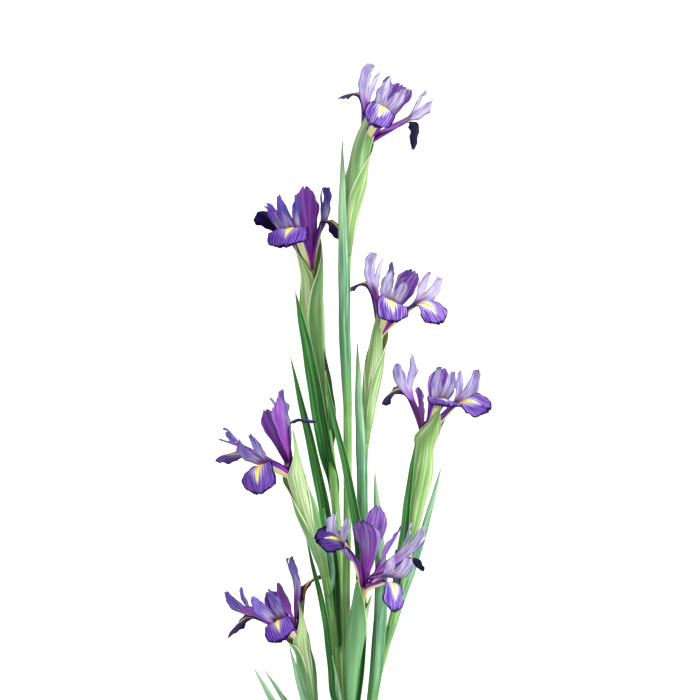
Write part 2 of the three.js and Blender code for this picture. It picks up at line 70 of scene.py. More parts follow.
# THE VASE
# A plain stoneware vase with a narrow neck, thrown on the wheel and dipped in a pale glaze. Its flat
# foot is left bare, and the glaze thins at the lip, where the brown clay shows through.
MM = 0.001
VASE_WALL = 3.5
VASE_FLOOR = 6
VASE_HEIGHT = 210
VASE_SIDES = 128
LIP_DEPTH = 2
FOOT_RADIUS = 37.8
FOOT_RING = 5
FOOT_HOLLOW = 0.8


def through(*knots):
    """A smooth curve through (place, value) pairs."""
    places, values = (np.array(column, float) for column in zip(*knots))
    last = len(places) - 1
    before = np.maximum(np.arange(last + 1) - 1, 0)
    after = np.minimum(np.arange(last + 1) + 1, last)
    slopes = (values[after] - values[before]) / (places[after] - places[before])

    def curve(x):
        x = np.asarray(x, float)
        i = np.clip(np.searchsorted(places, x, side="left") - 1, 0, last - 1)
        span = places[i + 1] - places[i]
        rise = values[i + 1] - values[i]
        t = np.clip((x - places[i]) / span, 0, 1)
        bow = (slopes[i] * span - rise) * (1 - t) + (rise - slopes[i + 1] * span) * t
        return values[i] + rise * t + t * (1 - t) * bow

    return curve


def tint(code):
    """A paint colour from its web code."""
    shares = [int(code[i:i + 2], 16) / 255 for i in (1, 3, 5)]
    return (*(s / 12.92 if s <= 0.04045 else ((s + 0.055) / 1.055) ** 2.4 for s in shares), 1)


class Finish:
    """A material under construction. Each call adds a node and returns what comes out of it."""

    def __init__(self, name):
        self.material = bpy.data.materials.new(name)
        self.material.use_nodes = True
        self.tree = self.material.node_tree
        self.shader = self.tree.nodes["Principled BSDF"]
        self.output = self.tree.nodes["Material Output"]

    def fill(self, node, inputs):
        for key, value in inputs.items():
            socket = node.inputs[key]
            if isinstance(value, bpy.types.NodeSocket):
                self.tree.links.new(value, socket)
            else:
                socket.default_value = value

    def node(self, kind, inputs=None, **settings):
        node = self.tree.nodes.new("ShaderNode" + kind)
        for key, value in settings.items():
            setattr(node, key, value)
        self.fill(node, inputs or {})
        return node

    def add(self, kind, inputs=None, **settings):
        return self.node(kind, inputs, **settings).outputs[0]

    def reckon(self, operation, a, b=0.5):
        return self.add("Math", {0: a, 1: b}, operation=operation)

    def step(self, value, low, high):
        """0 up to low, 1 from high on, and a smooth rise between them."""
        inputs = {"Value": value, "From Min": low, "From Max": high}
        return self.add("MapRange", inputs, interpolation_type="SMOOTHSTEP")

    def mix(self, share, a, b):
        return self.node("Mix", {0: share, 6: a, 7: b}, data_type="RGBA").outputs[2]

    def brush(self, ground, code, where, amount=1):
        """The ground with a colour brushed over it, where the mask is 1."""
        return self.mix(where if amount == 1 else self.share(amount, where), ground, tint(code))

    def place(self):
        return self.node("TexCoord").outputs["Object"]

    def noise(self, scale, detail=3, stretch=(1, 1, 1)):
        spot = self.add("Mapping", {"Vector": self.place(), "Scale": stretch})
        return self.add("TexNoise", {"Vector": spot, "Scale": scale, "Detail": detail})

    def streaks(self, across, along, fine, long, low=0.36, high=0.64):
        """Streaks from 0 to 1 that run along a blade, fine of them across half its width. They differ
        from blade to blade by where the blade stands."""
        spot = self.add("CombineXYZ", {
            0: self.reckon("MULTIPLY", across, fine),
            1: self.reckon("MULTIPLY", along, long),
            2: self.reckon("MULTIPLY", self.add("SeparateXYZ", {0: self.place()}), 40),
        })
        return self.step(self.add("TexNoise", {"Vector": spot, "Scale": 1, "Detail": 4}), low, high)

    def share(self, amount, value):
        return self.reckon("MULTIPLY", value, amount)

    def both(self, a, b):
        return self.reckon("MULTIPLY", a, b)

    def size(self, value):
        return self.reckon("ABSOLUTE", value)

    def bump(self, height, depth, strength=1.0):
        return self.add("Bump", {"Height": height, "Distance": depth * MM, "Strength": strength})

    def coat(self, **inputs):
        self.fill(self.shader, {key.replace("_", " "): value for key, value in inputs.items()})


def form(name, points, faces, finish):
    """A smooth object from points in metres."""
    mesh = bpy.data.meshes.new(name)
    mesh.from_pydata(points.tolist(), [], faces)
    mesh.polygons.foreach_set("use_smooth", [True] * len(mesh.polygons))
    mesh.materials.append(finish.material)
    piece = bpy.data.objects.new(name, mesh)
    bpy.context.scene.collection.objects.link(piece)
    return piece


def dress(name, points, faces, finish, node, marks=None):
    """One piece of the object from points in millimetres, riding on the root body."""
    piece = form(name, points * MM, faces, finish)
    if marks is not None:
        spot = piece.data.attributes.new("spot", "FLOAT_VECTOR", "POINT")
        spot.data.foreach_set("vector", marks[:, :3].astype(np.float32).ravel())
        tone = piece.data.attributes.new("tone", "FLOAT", "POINT")
        tone.data.foreach_set("value", marks[:, 3].astype(np.float32))
    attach(piece, "root")
    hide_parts(node)


def thrown(profile, segments):
    """Points and faces of a solid turned about the vertical, from (radius, height) pairs that start
    and end on the axis."""
    angles = np.arange(segments) * 2 * math.pi / segments
    rings = profile[1:-1]
    last = len(rings) - 1
    points = [(0, 0, profile[0][1]), (0, 0, profile[-1][1])]
    for radius, height in rings:
        points += [(radius * math.cos(a), radius * math.sin(a), height) for a in angles]

    def at(ring, k):
        return 2 + ring * segments + k % segments

    faces = []
    for k in range(segments):
        faces.append((0, at(0, k + 1), at(0, k)))
        faces.append((1, at(last, k), at(last, k + 1)))
        for ring in range(last):
            faces.append((at(ring, k), at(ring, k + 1), at(ring + 1, k + 1), at(ring + 1, k)))
    return np.array(points), faces


vase_radius = through(
    (0, 39), (14, 42), (44, 50.5), (74, 53), (106, 48.5), (134, 38), (158, 30), (176, 28.5), (196, 30),
    (VASE_HEIGHT, 33)
)
below_lip = VASE_HEIGHT - LIP_DEPTH
outside = [(float(vase_radius(h)), h) for h in np.linspace(1.5, below_lip, 90)]
inside = [(float(vase_radius(h)) - VASE_WALL, h) for h in np.linspace(below_lip, VASE_FLOOR + 5, 70)]
lip = float(vase_radius(VASE_HEIGHT))
rounded_lip = [
    (lip - VASE_WALL / 2 * (1 - math.cos(turn)), below_lip + LIP_DEPTH * math.sin(turn))
    for turn in np.linspace(0.3, math.pi - 0.3, 9)
]
foot = [
    (0, FOOT_HOLLOW), (FOOT_RADIUS - FOOT_RING, FOOT_HOLLOW), (FOOT_RADIUS - FOOT_RING + 0.6, 0),
    (FOOT_RADIUS, 0), (FOOT_RADIUS + 0.9, 0.5)
]
floor_inside = [(float(vase_radius(VASE_FLOOR)) - VASE_WALL - 3, VASE_FLOOR), (0, VASE_FLOOR)]
glaze = Finish("white_glaze")
vase_height = glaze.node("SeparateXYZ", {0: glaze.place()}).outputs["Z"]
drift = glaze.noise(14, 4)
speckle = glaze.step(glaze.noise(900, 2), 0.69, 0.76)
body = glaze.mix(drift, tint("#9d9a92"), tint("#aaa7a0"))
body = glaze.brush(body, "#74695a", speckle, 0.35)
body = glaze.brush(body, "#8a745a", glaze.step(vase_height, (VASE_HEIGHT - 2.5) * MM, VASE_HEIGHT * MM))
body = glaze.brush(body, "#846a4c", glaze.step(vase_height, 2.2 * MM, 0.8 * MM))
throwing_lines = glaze.reckon("SINE", glaze.share(1500, vase_height))
relief = glaze.reckon("ADD", glaze.share(0.12, throwing_lines), drift)
glaze.coat(Base_Color=body, Roughness=0.16, Normal=glaze.bump(relief, 0.5, 0.5))
glaze.coat(Coat_Weight=0.6, Coat_Roughness=0.06)
points, faces = thrown([*foot, *outside, *rounded_lip, *inside, *floor_inside], VASE_SIDES)
dress("vase", points, faces, glaze, "vase")


# THE WATER
# Clear tap water stands in the vase to about two thirds of its height, with the stems in it.
# It curves up a little where it wets the wall.
WATER_LEVEL = 130
WATER_GAP = 0.6
MENISCUS = 1.2
WATER_SIDES = 96


def water_radius(height):
    return float(vase_radius(height)) - VASE_WALL - WATER_GAP


wetted = [(water_radius(h), h) for h in np.linspace(VASE_FLOOR + 6, WATER_LEVEL, 40)]
curved_edge = [
    (water_radius(WATER_LEVEL) - inward, WATER_LEVEL - drop)
    for inward, drop in ((0.8, 0.6), (1.8, 1.0), (3.2, MENISCUS))
]
bottom = [(0, VASE_FLOOR + 0.3), (water_radius(VASE_FLOOR) - 3, VASE_FLOOR + 0.3)]
clear_water = Finish("clear_water")
clear_water.coat(Base_Color=tint("#eef6f6"), Roughness=0.02, IOR=1.333, Transmission_Weight=1.0)
clear_water.coat(Normal=clear_water.bump(clear_water.noise(60, 2), 0.3, 0.3))
points, faces = thrown([*bottom, *wetted, *curved_edge, (0, WATER_LEVEL - MENISCUS)], WATER_SIDES)
dress("water", points, faces, clear_water, "water")


# THE STEMS
# Seven straight, solid, slightly ribbed flower stems, cut off square in the water. Each leans on the
# vase's neck and carries its bloom at its top, tilted to the side and nodding to the front.
STEM_RADIUS = 3.3
STEM_SIDES = 20
STEM_STEP = 6
STEM_RIBS = 22
STEM_LIFT = 0.6
FOOT_SPREAD = 1.5
NECK_HEIGHT = 200
TUBE_BELOW = 22
AXIS_ABOVE = 46
IRISES = [
    {"neck": (-2, -3), "base": (10, -8, 704), "tilt": 30, "nod": 5,
     "route": [(-3, -2, 262), (-3, -3, 342), (-2, -4, 422), (-2, -6, 502), (-3, -7, 582),
               (-1, -8, 638), (4, -8, 672)]},
    {"neck": (-8, 8), "base": (-31, 22, 605), "tilt": -8, "nod": 8,
     "route": [(-6, 9, 261), (-7, 11, 341), (-12, 14, 421), (-19, 17, 486), (-26, 19, 534),
               (-31, 20, 578)]},
    {"neck": (4, 12), "base": (24, 21, 554), "tilt": 22, "nod": 6,
     "route": [(5, 11, 261), (7, 11, 325), (10, 12, 389), (11, 15, 453), (15, 18, 494), (19, 20, 526)]},
    {"neck": (14, 2), "base": (61, 36, 470), "tilt": 8, "nod": 5,
     "route": [(18, 4, 262), (29, 7, 305), (40, 12, 349), (48, 18, 385), (54, 25, 417), (59, 31, 445)]},
    {"neck": (-9, -13), "base": (-44, -26, 440), "tilt": -28, "nod": 8,
     "route": [(-9, -14, 264), (-13, -16, 312), (-19, -19, 359), (-27, -22, 391), (-36, -24, 419)]},
    {"neck": (2, -15), "base": (11, -34, 353), "tilt": 14, "nod": 8,
     "route": [(0, -19, 264), (2, -24, 297), (6, -30, 325)]},
    {"neck": (-17, -5), "base": (-40, -10, 310), "tilt": -30, "nod": 5,
     "route": [(-30, -6, 263), (-34, -8, 286)]},
]


class Route:
    """A smooth centripetal curve through points, measured along its length in millimetres."""

    def __init__(self, knots, steps=60):
        knots = np.array(knots, float)
        ends = [2 * knots[0] - knots[1], *knots, 2 * knots[-1] - knots[-2]]
        pieces = []
        for p0, p1, p2, p3 in zip(ends, ends[1:], ends[2:], ends[3:]):
            d0, d1, d2 = (math.sqrt(np.linalg.norm(b - a)) for a, b in ((p0, p1), (p1, p2), (p2, p3)))
            m1 = ((p1 - p0) / d0 - (p2 - p0) / (d0 + d1) + (p2 - p1) / d1) * d1
            m2 = ((p2 - p1) / d1 - (p3 - p1) / (d1 + d2) + (p3 - p2) / d2) * d1
            t = np.linspace(0, 1, steps, endpoint=False)[:, None]
            curve = p1 + m1 * t + (3 * (p2 - p1) - 2 * m1 - m2) * t**2 + (2 * (p1 - p2) + m1 + m2) * t**3
            pieces.append(curve)
        self.points = np.vstack([*pieces, knots[-1:]])
        self.lengths = np.concatenate([[0], np.cumsum(np.linalg.norm(np.diff(self.points, axis=0), axis=1))])
        self.length = self.lengths[-1]

    def at(self, distance):
        distance = np.clip(distance, 0, self.length)
        return np.stack([np.interp(distance, self.lengths, self.points[:, k]) for k in range(3)], -1)

    def ahead(self, distance):
        step = 1.5
        low = np.clip(distance - step, 0, self.length)
        high = np.clip(distance + step, 0, self.length)
        return unit(self.at(high) - self.at(low))

    def at_height(self, height):
        """How far along the curve it first reaches a height."""
        return float(np.interp(height, self.points[:, 2], self.lengths))


def unit(vectors):
    return vectors / np.linalg.norm(vectors, axis=-1, keepdims=True)


def rod(route, distances, radii, sides, first):
    """Points, faces and marks of a closed rod along a route. first is the direction of its first side."""
    centres = route.at(distances)
    forward = route.ahead(distances)
    one = unit(first - forward * (forward @ first)[:, None])
    two = np.cross(forward, one)
    angle = np.arange(sides) * 2 * math.pi / sides
    ring = np.cos(angle)[None, :, None] * one[:, None] + np.sin(angle)[None, :, None] * two[:, None]
    rows = len(distances)
    points = (centres[:, None] + ring * radii[:, None, None]).reshape(-1, 3)
    points = np.vstack([points, centres[:1], centres[-1:]])
    faces = []
    for i in range(rows - 1):
        for k in range(sides):
            n = (k + 1) % sides
            faces.append((i * sides + k, i * sides + n, (i + 1) * sides + n, (i + 1) * sides + k))
    last = (rows - 1) * sides
    for k in range(sides):
        n = (k + 1) % sides
        faces.append((n, k, rows * sides))
        faces.append((last + k, last + n, rows * sides + 1))
    around = np.tile(np.arange(sides) / sides, rows)
    along = np.repeat(np.linspace(0, 1, rows), sides)
    none = np.zeros(len(points))
    marks = np.stack([np.append(around, [0, 0]), np.append(along, [0, 1]), none, none + 0.5], -1)
    return points, faces, marks


class Flower:
    """A flower's axis from the stem's foot to beyond its petals, and its own up, right and away."""

    def __init__(self, plan):
        tilt, nod = math.radians(plan["tilt"]), math.radians(plan["nod"])
        self.up = np.array([math.sin(tilt) * math.cos(nod), -math.sin(nod), math.cos(tilt) * math.cos(nod)])
        self.right = np.array([math.cos(tilt), 0, -math.sin(tilt)])
        self.away = np.cross(self.up, self.right)
        self.base = np.array(plan["base"], float)
        x, y = plan["neck"]
        self.axis = Route([
            (x * FOOT_SPREAD, y * FOOT_SPREAD, VASE_FLOOR + STEM_LIFT), (x, y, NECK_HEIGHT),
            *plan["route"], self.base, self.base + self.up * AXIS_ABOVE,
        ])
        self.base_at = self.axis.length - AXIS_ABOVE

    def out(self, bearing):
        angle = math.radians(bearing)
        return self.right * math.cos(angle) + self.away * math.sin(angle)


def spots(finish):
    """The marks that the pieces' points carry: across, along, side, and the tone of the whole petal."""
    spot = finish.node("Attribute", attribute_name="spot")
    split = finish.node("SeparateXYZ", {0: spot.outputs["Vector"]})
    tone = finish.node("Attribute", attribute_name="tone")
    return *split.outputs, tone.outputs["Fac"]


def let_light_through(finish, colour, share):
    """Thin plant tissue glows with the light behind it."""
    glow = finish.add("BsdfTranslucent", {"Color": colour})
    mixed = finish.add("MixShader", {0: share, 1: finish.shader.outputs[0], 2: glow})
    finish.fill(finish.output, {"Surface": mixed})


stem_skin = Finish("stem_skin")
around, along, _, _ = spots(stem_skin)
ribs = stem_skin.reckon("SINE", stem_skin.share(2 * math.pi * STEM_RIBS, around))
streaks = stem_skin.streaks(around, along, 26, 9)
green = stem_skin.mix(streaks, tint("#5b8d4b"), tint("#9ec381"))
green = stem_skin.brush(green, "#86b45f", stem_skin.step(stem_skin.noise(30), 0.4, 0.65), 0.5)
green = stem_skin.brush(green, "#3f7430", stem_skin.step(ribs, 0.3, 1.5), 0.6)
stem_skin.coat(Base_Color=green, Roughness=0.45, Normal=stem_skin.bump(ribs, 0.25, 0.5))
stem_skin.coat(Specular_IOR_Level=0.35, Subsurface_Weight=0.1, Subsurface_Scale=0.003)

flowers = [Flower(plan) for plan in IRISES]
for number, flower in enumerate(flowers, 1):
    top = flower.base_at - TUBE_BELOW
    distances = np.linspace(0, top, int(top / STEM_STEP))
    swelling = 1 + 0.04 * np.sin(distances / 37 + number)
    radii = STEM_RADIUS * swelling
    points, faces, marks = rod(flower.axis, distances, radii, STEM_SIDES, flower.right)
    dress(f"iris_{number}_stem", points, faces, stem_skin, f"iris_{number}_leafy_stem", marks)


# THE LEAVES
# Narrow channelled leaves clasp the stems and open upwards. Outside they are blue-green and dull with
# wax, inside a deep shining green, and their tips have dried to a pale tan.
LEAF_THICKNESS = 0.75
LEAF_GRID = (60, 13)
LEAF_CLASP = 20
LEAF_STANDOFF = 0.8
leaf_half_width = through((0, 0.4), (0.12, 0.85), (0.3, 1), (0.6, 0.88), (0.85, 0.5), (1, 0.04))
leaf_channel = through((0, 0.6), (0.14, 1.2), (0.3, 1), (0.6, 0.8), (1, 0.7))
LEAVES = [
    [{"from": 478, "points": [(-4, -12, 545), (-5, -17.5, 610), (-6, -18, 661), (-6, -17, 708)],
      "half": 5.3, "faces": -90}],
    [{"from": 415, "points": [(-20, 8, 462), (-27, 5, 502), (-34, 4, 542), (-44, 5, 589)],
      "half": 6.6, "faces": 90},
     {"from": 440, "points": [(-14, 12, 486), (-17, 10, 516), (-21, 9, 543)], "half": 3.6, "faces": 90},
     {"from": 270, "points": [(-10, 2, 315), (-13, -3, 366), (-20, -4, 414), (-30, -4, 462), (-38, -3, 496),
                              (-48, -2, 538)], "half": 5.6, "faces": 80}],
    [{"from": 360, "points": [(10, 6, 422), (9, 6, 462), (7, 7, 506), (6, 9, 547)], "half": 5, "faces": -90}],
    [{"from": 318, "points": [(38, 3, 362), (43, 5, 393), (47, 9, 429), (53, 14, 470)],
      "half": 4, "faces": 90},
     {"from": 296, "points": [(41, 18, 338), (54, 26, 374), (64, 31, 408), (74, 33, 447)],
      "half": 4.6, "faces": -60},
     {"from": 232, "points": [(19, -5, 271), (23, -8, 311), (25, -8, 359), (22, -6, 406), (20, -4, 445)],
      "half": 6.2, "faces": -90}],
    [{"from": 325, "points": [(-14, -13, 362), (-17, -12, 391), (-21, -11, 416)], "half": 2.6, "faces": -90},
     {"from": 235, "points": [(-13, -19, 268), (-16, -21, 300), (-21, -22, 336), (-28, -20, 365),
                              (-35, -17, 393)], "half": 3.2, "faces": 90}],
    [{"from": 212, "points": [(8, -12, 290), (9, -17, 350), (7, -16, 391), (-3, -15, 447), (-15, -10, 498),
                              (-20, -8, 526)], "half": 4.8, "faces": 90},
     {"from": 214, "points": [(-8, -24, 265), (-11, -27, 283), (-14, -28, 301)], "half": 2.6, "faces": -140}],
    [{"from": 192, "points": [(-28, -8, 216), (-43, -12, 236), (-62, -14, 264), (-76, -16, 289)],
      "half": 4, "faces": -90},
     {"from": 205, "points": [(-34, 0, 238), (-52, -2, 262), (-68, -3, 286)], "half": 3, "faces": -90},
     {"from": 194, "points": [(-28, -16, 240), (-37, -20, 266), (-43, -21, 288), (-48, -20, 308)],
      "half": 3.4, "faces": -90}],
]


def sheet(middle, across, along, thickness, tone=0.5):
    """Points, faces and marks of a thin closed sheet over a grid of points. Its edges are thinner."""
    rows, columns = middle.shape[:2]
    normal = unit(np.cross(np.gradient(middle, axis=1), np.gradient(middle, axis=0)))
    half = (thickness / 2 * (1 - 0.55 * np.abs(across) ** 8))[..., None]
    size = rows * columns
    points = np.vstack([(middle + normal * half).reshape(-1, 3), (middle - normal * half).reshape(-1, 3)])
    at = np.arange(size).reshape(rows, columns)
    corners = [at[:-1, :-1], at[:-1, 1:], at[1:, 1:], at[1:, :-1]]
    outer = np.stack([c.ravel() for c in corners], -1)
    inner = outer[:, ::-1] + size
    rim = np.concatenate([at[0, :-1], at[:-1, -1], at[-1, :0:-1], at[:0:-1, 0]])
    after = np.roll(rim, -1)
    band = np.stack([rim, rim + size, after + size, after], -1)
    one_side = np.stack([across.ravel(), along.ravel(), np.zeros(size), np.full(size, tone)], -1)
    marks = np.vstack([one_side, one_side + (0, 0, 1, 0)])
    return points, np.vstack([outer, inner, band]).tolist(), marks


def gathered(parts):
    """Several pieces' points, faces and marks as one."""
    points, faces, marks = [], [], []
    count = 0
    for some_points, some_faces, some_marks in parts:
        faces += [tuple(p + count for p in face) for face in some_faces]
        points.append(some_points)
        marks.append(some_marks)
        count += len(some_points)
    return np.vstack(points), faces, np.vstack(marks)


def grid(rows, columns):
    """v from -1 to 1 across and u from 0 to 1 along, over a grid."""
    return np.meshgrid(np.linspace(-1, 1, columns), np.linspace(0, 1, rows))


def leaf(flower, plan, tone):
    """A leaf that starts inside the stem, clasps it, and follows its own points to its tip."""
    bearing = math.radians(plan["faces"])
    facing = np.array([math.cos(bearing), math.sin(bearing), 0])
    start = flower.axis.at(flower.axis.at_height(plan["from"]))
    clasping = flower.axis.at(flower.axis.at_height(plan["from"] + LEAF_CLASP))
    spine = Route([start, clasping + facing * (STEM_RADIUS + LEAF_STANDOFF), *plan["points"]])
    v, u = grid(*LEAF_GRID)
    distance = u[:, 0] * spine.length
    forward = spine.ahead(distance)
    outer = unit(facing - forward * (forward @ facing)[:, None])
    across = np.cross(forward, outer)
    bend = leaf_channel(u)
    half = plan["half"] * leaf_half_width(u)
    radius = half / bend
    sideways = radius * np.sin(v * bend) + 0.15 * np.abs(v) * np.sin(31 * u)
    keel = 0.16 * half * (1 - np.sqrt(v * v + 0.01))
    outwards = keel - radius * (1 - np.cos(v * bend))
    offset = across[:, None] * sideways[..., None] + outer[:, None] * outwards[..., None]
    return sheet(spine.at(distance)[:, None] + offset, v, u, LEAF_THICKNESS, tone)


leaf_skin = Finish("leaf_skin")
across, along, side, tone = spots(leaf_skin)
beside = leaf_skin.size(across)
broad = leaf_skin.streaks(across, along, 2.6, 5)
fine = leaf_skin.streaks(across, along, 11, 6, 0.42, 0.58)
outer_face = leaf_skin.mix(broad, tint("#4c8a62"), tint("#a3c9ab"))
outer_face = leaf_skin.brush(outer_face, "#316d4c", fine, 0.55)
# Deeper green in the lower half and, on pale-toned leaves, paler in the upper half: partly the leaf's own
# colour, partly painted shade low in the bunch and painted highlight higher up.
outer_face = leaf_skin.brush(outer_face, "#548c48", leaf_skin.step(along, 0.55, 0.1), 0.55)
outer_face = leaf_skin.brush(outer_face, "#7dab63", leaf_skin.step(along, 0.26, 0.0))
outer_face = leaf_skin.brush(outer_face, "#b4d6a8", leaf_skin.both(leaf_skin.step(along, 0.5, 0.9), tone), 0.6)
shining = leaf_skin.mix(broad, tint("#1a4f24"), tint("#458844"))
shining = leaf_skin.brush(shining, "#4f9448", fine, 0.35)
green = leaf_skin.mix(side, outer_face, shining)
green = leaf_skin.brush(green, "#245a28", leaf_skin.step(tone, 0.5, 0.0), 0.3)
midrib = leaf_skin.step(beside, 0.09, 0.02)
green = leaf_skin.brush(green, "#b9d8a2", midrib, 0.3)
# Darker green margins: partly the leaf's own colour, partly painted shade where its sides curl away.
green = leaf_skin.brush(green, "#235a2b", leaf_skin.step(beside, 0.72, 0.9), 0.55)
green = leaf_skin.brush(green, "#bdd9a8", leaf_skin.step(beside, 0.93, 0.99), 0.6)
green = leaf_skin.brush(green, "#c9b07c", leaf_skin.step(along, 0.975, 0.995))
leaf_skin.coat(Base_Color=green, Roughness=0.46, Normal=leaf_skin.bump(fine, 0.16, 0.6))
leaf_skin.coat(Specular_IOR_Level=0.35)
let_light_through(leaf_skin, tint("#6fae3f"), 0.12)
LEAF_TONES = ((0.9,), (0.55, 0.1, 0.35), (0.8,), (0.15, 0.45, 0.5), (0.5, 0.2), (0.2, 0.8), (0.7, 0.8, 0.6))
for number, (flower, plans, tones) in enumerate(zip(flowers, LEAVES, LEAF_TONES), 1):
    points, faces, marks = gathered(leaf(flower, plan, tone) for plan, tone in zip(plans, tones))
    dress(f"iris_{number}_leaves", points, faces, leaf_skin, f"iris_{number}_leafy_stem", marks)


# THE SPATHES
# Two pale green valves are rolled round the top of each stem and the flower's tube, one over the
# other, and end in keeled points. Fine veins run up them, and their margins are thin and papery.
SPATHE_THICKNESS = 0.6
SPATHE_WIDTH = 8.6
SPATHE_SPREAD = 3
SPATHE_GRID = (64, 35)
VALVE_GAP = 0.5
SPATHES = [
    {"tips": ((-152, 42), (45, 6)), "tones": (0.5, 0.95), "below": 88},
    {"tips": ((-178, 23), (48, 34)), "tones": (0.9, 0.5), "below": 100, "wide": 9.6},
    {"tips": ((-160, 22), (60, 8)), "tones": (0.85, 0.8), "below": 88, "wide": 7.4},
    {"tips": ((30, 28), (-66, 29)), "tones": (0.3, 0.95), "below": 92, "wide": 8.2, "spread": 20},
    {"tips": ((-14, 34), (86, 16)), "tones": (0.85, 0.4), "below": 82, "spread": 13},
    {"tips": ((8, -4), (-150, 8)), "tones": (0.9, 0.1), "below": 104, "wide": 7.4},
    {"tips": ((-14, 28), (106, 30)), "tones": (0.95, 0.3), "below": 62, "wide": 7, "spread": 15},
]
valve_wrap = through((0, 174), (0.4, 166), (0.62, 138), (0.78, 96), (0.9, 52), (1, 3))


def valve(flower, bearing, tall, below, wide, spread, lift, tone):
    """One valve, rolled nearly all round at its foot, from below the flower's base to its tip at tall
    above it. spread opens its upper end, and lift sets the outer one over the inner one."""
    radius_at = through(
        (-below, STEM_RADIUS + 0.12), (-0.72 * below, 0.66 * wide), (-0.36 * below, 0.97 * wide),
        (-6, 0.9 * wide), (50, wide + spread)
    )
    v, u = grid(*SPATHE_GRID)
    wave = 0.012 * np.sin(9 * v + 20 * tone) * u**3
    height = -below + (u - wave) * (tall + below)
    distance = flower.base_at + height
    forward = flower.axis.ahead(distance)
    one = unit(flower.right - forward * (forward @ flower.right)[..., None])
    two = np.cross(forward, one)
    keel = 0.9 * np.exp(-((v / 0.09) ** 2)) * u**2
    flutes = 0.12 * np.sin(38 * v) * u * (1 - u)
    radius = radius_at(height) + lift * np.clip(6 * u, 0.1, 1) + keel + flutes
    angle = np.radians(bearing + v * valve_wrap(u) * np.minimum(1, (wide + 1) / radius) ** 2)
    ring = np.cos(angle)[..., None] * one + np.sin(angle)[..., None] * two
    thickness = SPATHE_THICKNESS * np.clip(u / 0.1, 0.15, 1)
    return sheet(flower.axis.at(distance) + ring * radius[..., None], v, u, thickness, tone)


spathe_skin = Finish("spathe_skin")
across, along, side, tone = spots(spathe_skin)
beside = spathe_skin.size(across)
broad = spathe_skin.streaks(across, along, 6, 1.2)
fine = spathe_skin.streaks(across, along, 26, 2, 0.42, 0.58)
pale = spathe_skin.mix(broad, tint("#8fb868"), tint("#e3edc8"))
pale = spathe_skin.brush(pale, "#5a9442", fine, 0.62)
pale = spathe_skin.brush(pale, "#79a45c", spathe_skin.step(along, 0.3, 0.0), 0.9)
pale = spathe_skin.brush(pale, "#6c9c52", spathe_skin.step(along, 0.72, 0.95), 0.3)
pale = spathe_skin.brush(pale, "#639f42", spathe_skin.step(beside, 0.14, 0.0), 0.5)
pale = spathe_skin.brush(pale, "#679f74", spathe_skin.step(tone, 0.9, 0.0), 0.8)
pale = spathe_skin.brush(pale, "#dbe8b4", side, 0.55)
upper_part = spathe_skin.step(along, 0.3, 0.5)
# Darker green sides on the upper part: painted shade where the rolled valve curves away from the light.
edge = spathe_skin.both(upper_part, spathe_skin.step(beside, 0.72, 0.9))
pale = spathe_skin.brush(pale, "#4f9230", edge, 0.5)
paper = spathe_skin.both(upper_part, spathe_skin.step(beside, 0.92, 0.97))
pale = spathe_skin.brush(pale, "#f0f1d6", paper, 0.9)
pale = spathe_skin.brush(pale, "#d3c592", spathe_skin.step(along, 0.975, 0.995))
spathe_skin.coat(Base_Color=pale, Roughness=0.45, Normal=spathe_skin.bump(fine, 0.16, 0.6))
spathe_skin.coat(Specular_IOR_Level=0.35)
let_light_through(spathe_skin, tint("#c2de7a"), 0.2)
for number, (flower, plan) in enumerate(zip(flowers, SPATHES), 1):
    inner_tip, outer_tip = plan["tips"]
    inner_tone, outer_tone = plan["tones"]
    below = plan["below"]
    width = plan.get("wide", SPATHE_WIDTH), plan.get("spread", SPATHE_SPREAD)
    inner = valve(flower, *inner_tip, below, *width, -VALVE_GAP, inner_tone)
    outer = valve(flower, *outer_tip, 0.94 * below, *width, VALVE_GAP, outer_tone)
    points, faces, marks = gathered([inner, outer])
    dress(f"iris_{number}_spathe", points, faces, spathe_skin, f"iris_{number}_spathe", marks)


# THE TUBES
# The green ovary runs up into a short fleshy tube, where the six petals part. It is greenish yellow
# inside the spathe and flushes violet at its top.
TUBE_ABOVE = 7
TUBE_SIDES = 24
TUBE_ROWS = 24
TUBE_RIBS = 6
tube_radius = through((-TUBE_BELOW, STEM_RADIUS), (-14, 3.4), (-6, 2.7), (0, 3.3), (TUBE_ABOVE, 3.2))
tube_skin = Finish("tube_skin")
around, along, _, _ = spots(tube_skin)
ribs = tube_skin.reckon("SINE", tube_skin.share(2 * math.pi * TUBE_RIBS, around))
fleshy = tube_skin.mix(tube_skin.step(along, 0.2, 0.7), tint("#8dbb58"), tint("#d6cf86"))
fleshy = tube_skin.brush(fleshy, "#b3bd62", tube_skin.streaks(around, along, 22, 3), 0.6)
fleshy = tube_skin.brush(fleshy, "#8d4f9c", tube_skin.step(along, 0.82, 1.0))
tube_skin.coat(Base_Color=fleshy, Roughness=0.45, Normal=tube_skin.bump(ribs, 0.3, 0.5))
tube_skin.coat(Specular_IOR_Level=0.3, Subsurface_Weight=0.1, Subsurface_Scale=0.002)
heights = np.linspace(-TUBE_BELOW, TUBE_ABOVE, TUBE_ROWS)
radii = tube_radius(heights)
for number, flower in enumerate(flowers, 1):
    points, faces, marks = rod(flower.axis, flower.base_at + heights, radii, TUBE_SIDES, flower.right)
    dress(f"iris_{number}_tube", points, faces, tube_skin, f"iris_{number}_bloom", marks)


